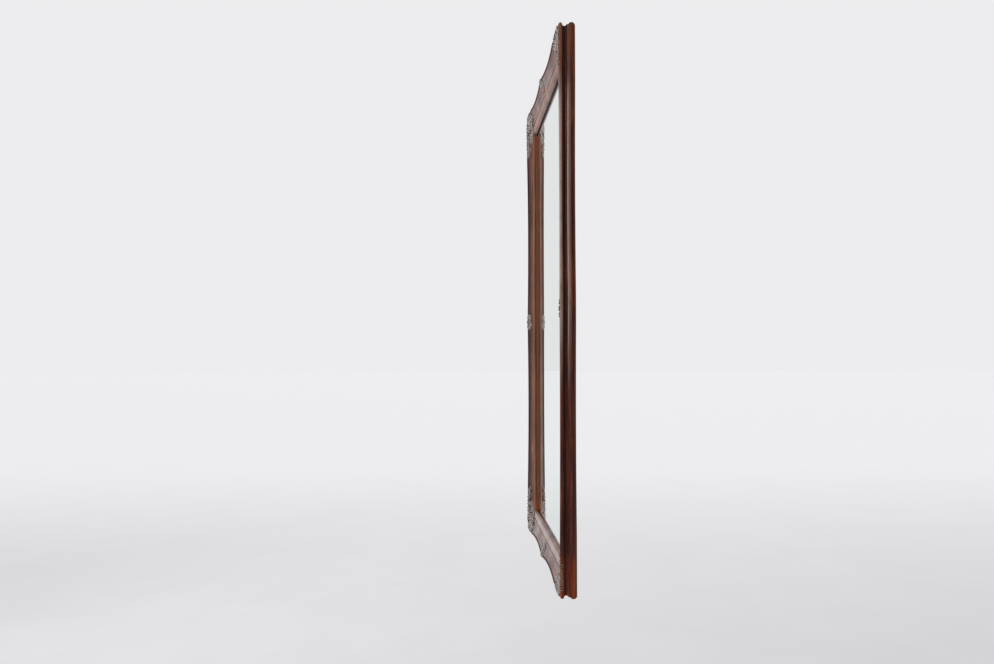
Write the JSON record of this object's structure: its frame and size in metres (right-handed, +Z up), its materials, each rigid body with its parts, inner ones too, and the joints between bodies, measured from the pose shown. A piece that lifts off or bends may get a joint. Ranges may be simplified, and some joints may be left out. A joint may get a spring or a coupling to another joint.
{
  "type": "wall mirror",
  "caption": "Upright wall mirror in a swept, carved dark hardwood frame, held by turn buttons and hung from strap hangers with D-rings.",
  "frame": {"origin": "middle of the whole mirror: half its width, half its height and half its depth", "axes": "+X across the mirror to the right seen from the front, +Y from the front to the wall, +Z up"},
  "size_m": [0.7, 0.035, 1.06],
  "materials": {
    "frame_wood": "french-polished dark mahogany",
    "carved_wood": "carved and waxed dark mahogany",
    "silvered_glass": "polished",
    "hardboard": "matt hardboard",
    "button_brass": "satin",
    "screw_brass": "satin",
    "nail_steel": "plain",
    "zinc_steel": "zinc plated",
    "pad_rubber": "matt"
  },
  "bodies": {
    "frame": {"top_rail": "frame_wood", "bottom_rail": "frame_wood", "left_stile": "frame_wood", "right_stile": "frame_wood", "corner_carving_top_left": "carved_wood", "corner_carving_top_right": "carved_wood", "corner_carving_bottom_left": "carved_wood", "corner_carving_bottom_right": "carved_wood", "centre_carving_top": "carved_wood", "centre_carving_bottom": "carved_wood", "centre_carving_left": "carved_wood", "centre_carving_right": "carved_wood", "mirror_glass": "silvered_glass", "backing_board": "hardboard", "turn_button_screws": "screw_brass", "mitre_v_nails": "nail_steel", "hanger_strap_left": "zinc_steel", "hanger_strap_right": "zinc_steel", "hanger_screws": "zinc_steel", "bumper_left": "pad_rubber", "bumper_right": "pad_rubber"},
    "button_1": {"turn_button_1": "button_brass"},
    "button_2": {"turn_button_2": "button_brass"},
    "button_3": {"turn_button_3": "button_brass"},
    "button_4": {"turn_button_4": "button_brass"},
    "button_5": {"turn_button_5": "button_brass"},
    "button_6": {"turn_button_6": "button_brass"},
    "ring_left": {"hanger_ring_left": "zinc_steel"},
    "ring_right": {"hanger_ring_right": "zinc_steel"}
  },
  "joints": [
    {"name": "button_1_turn", "type": "hinge", "parent": "frame", "child": "button_1", "pos_m": [0.314, 0.0125, 0.4], "axis": [0, 1, 0], "continuous": true},
    {"name": "button_2_turn", "type": "hinge", "parent": "frame", "child": "button_2", "pos_m": [0.314, 0.0125, 0], "axis": [0, 1, 0], "continuous": true},
    {"name": "button_3_turn", "type": "hinge", "parent": "frame", "child": "button_3", "pos_m": [0.314, 0.0125, -0.4], "axis": [0, 1, 0], "continuous": true},
    {"name": "button_4_turn", "type": "hinge", "parent": "frame", "child": "button_4", "pos_m": [-0.314, 0.0125, -0.4], "axis": [0, 1, 0], "continuous": true},
    {"name": "button_5_turn", "type": "hinge", "parent": "frame", "child": "button_5", "pos_m": [-0.314, 0.0125, 0], "axis": [0, 1, 0], "continuous": true},
    {"name": "button_6_turn", "type": "hinge", "parent": "frame", "child": "button_6", "pos_m": [-0.314, 0.0125, 0.4], "axis": [0, 1, 0], "continuous": true},
    {"name": "ring_left_swing", "type": "hinge", "parent": "frame", "child": "ring_left", "pos_m": [-0.324, 0.01485, 0.33], "axis": [1, 0, 0], "range_deg": [0, 180]},
    {"name": "ring_right_swing", "type": "hinge", "parent": "frame", "child": "ring_right", "pos_m": [0.324, 0.01485, 0.33], "axis": [1, 0, 0], "range_deg": [0, 180]}
  ]
}
